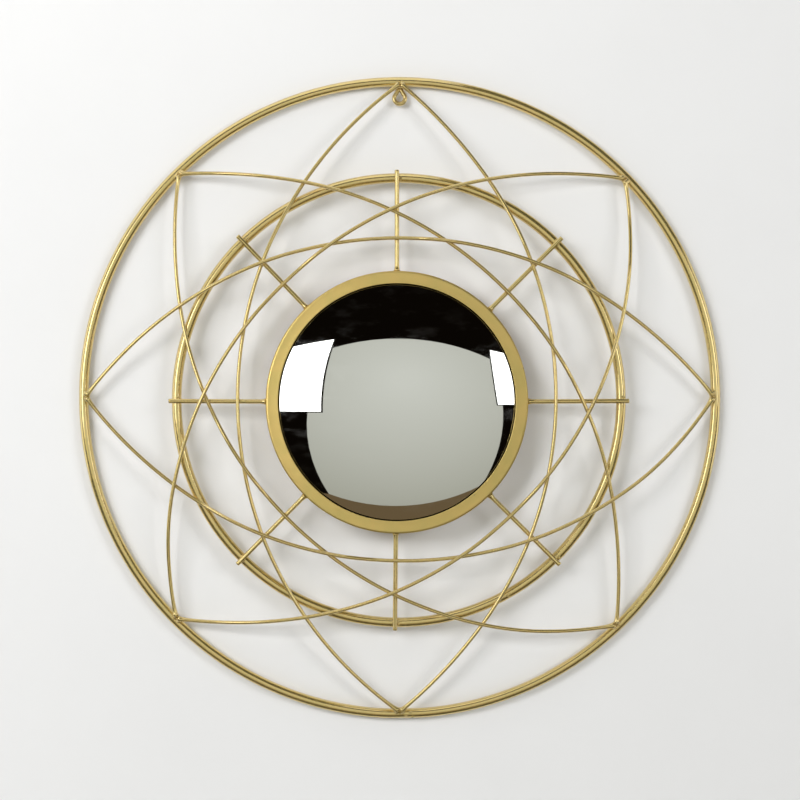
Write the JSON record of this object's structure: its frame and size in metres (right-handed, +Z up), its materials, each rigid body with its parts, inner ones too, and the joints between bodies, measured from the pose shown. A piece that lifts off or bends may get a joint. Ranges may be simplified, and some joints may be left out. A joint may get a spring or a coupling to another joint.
{
  "type": "wall mirror",
  "caption": "Round hanging wall mirror: convex glass in a gold-painted metal pan, held inside two tube rings by spokes and crossing bowed wires.",
  "frame": {"origin": "middle of the hanging eye's hole, on the wall plane", "axes": "+Z up, the mirror faces -Y and the wall is the plane y = 0"},
  "size_m": [0.6996, 0.053, 0.6996],
  "materials": {
    "gold_paint": "satin gold metallic paint over welded steel",
    "mirror_glass": "silvered convex glass",
    "hardboard": "plain brown hardboard"
  },
  "bodies": {
    "root": {"outer_ring": "gold_paint", "inner_ring": "gold_paint", "mirror_frame": "gold_paint", "mirror_glass": "mirror_glass", "back_panel": "hardboard", "hanging_eye": "gold_paint", "spoke_right": "gold_paint", "spoke_upper_right": "gold_paint", "spoke_top": "gold_paint", "spoke_upper_left": "gold_paint", "spoke_left": "gold_paint", "spoke_lower_left": "gold_paint", "spoke_bottom": "gold_paint", "spoke_lower_right": "gold_paint", "wire_right": "gold_paint", "wire_upper_right": "gold_paint", "wire_top": "gold_paint", "wire_upper_left": "gold_paint", "wire_left": "gold_paint", "wire_lower_left": "gold_paint", "wire_bottom": "gold_paint", "wire_lower_right": "gold_paint"}
  },
  "joints": []
}
